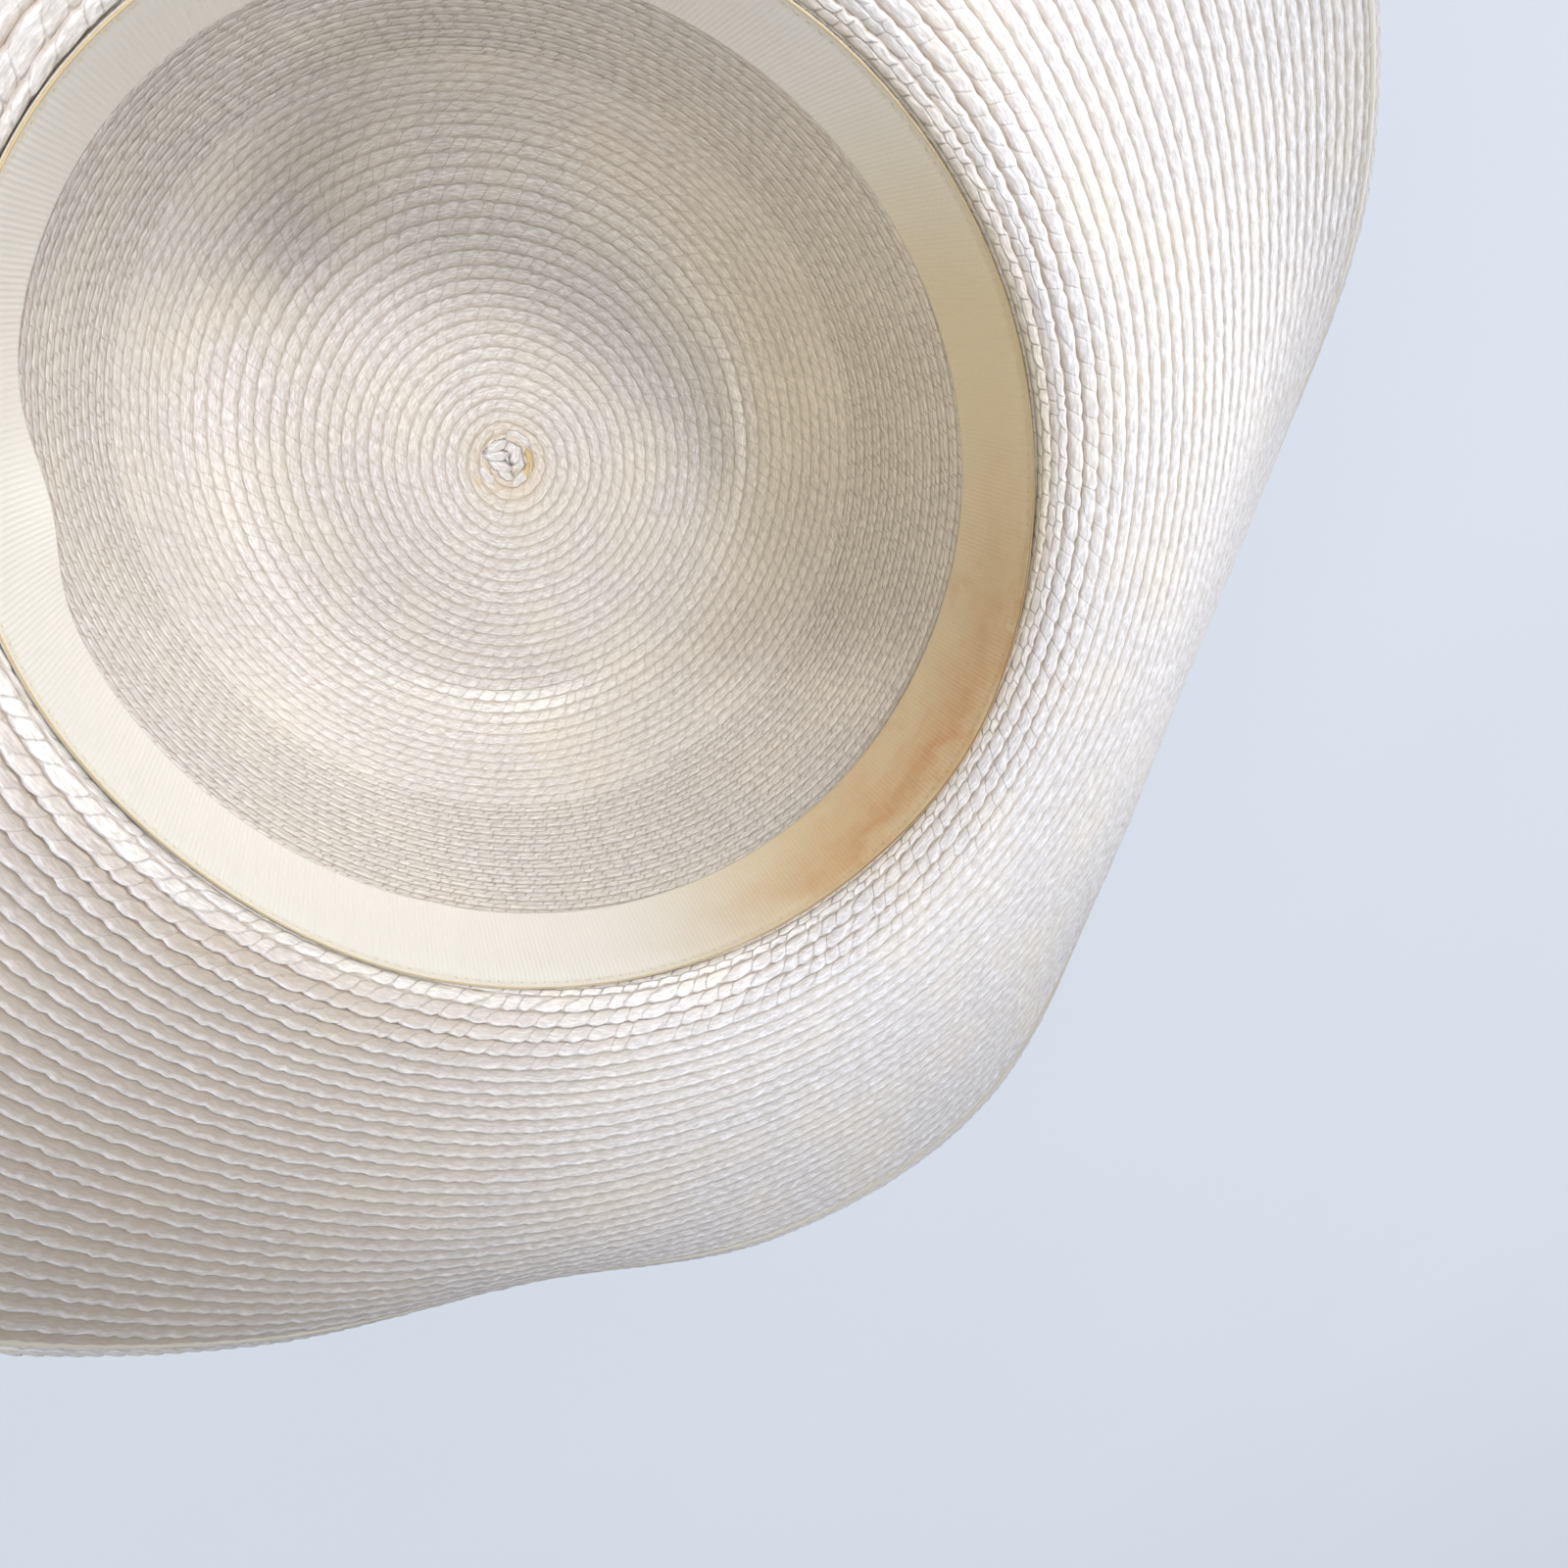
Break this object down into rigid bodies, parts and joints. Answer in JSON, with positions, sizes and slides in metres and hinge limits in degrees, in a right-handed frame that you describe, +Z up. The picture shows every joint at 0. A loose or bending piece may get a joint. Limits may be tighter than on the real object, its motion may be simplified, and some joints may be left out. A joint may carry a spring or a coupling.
{
  "type": "wide-brim straw hat",
  "caption": "Round-crowned hat of spirally sewn straw braid with a wide softly waved brim and a ribbed ribbon sweatband, lying crown down",
  "frame": {"origin": "centre of the flat outside of the crown tip, on the surface that the upside-down hat rests on", "axes": "+Z up out of the head opening, +X and +Y level, with the long axis of the head opening 49 degrees clockwise from +X seen from above"},
  "size_m": [0.3608, 0.3673, 0.1145],
  "materials": {
    "straw_body": "bleached straw braid, satin",
    "sweatband": "ribbed ribbon, matt"
  },
  "bodies": {
    "root": {"straw_body": "straw_body", "sweatband": "sweatband"}
  },
  "joints": []
}
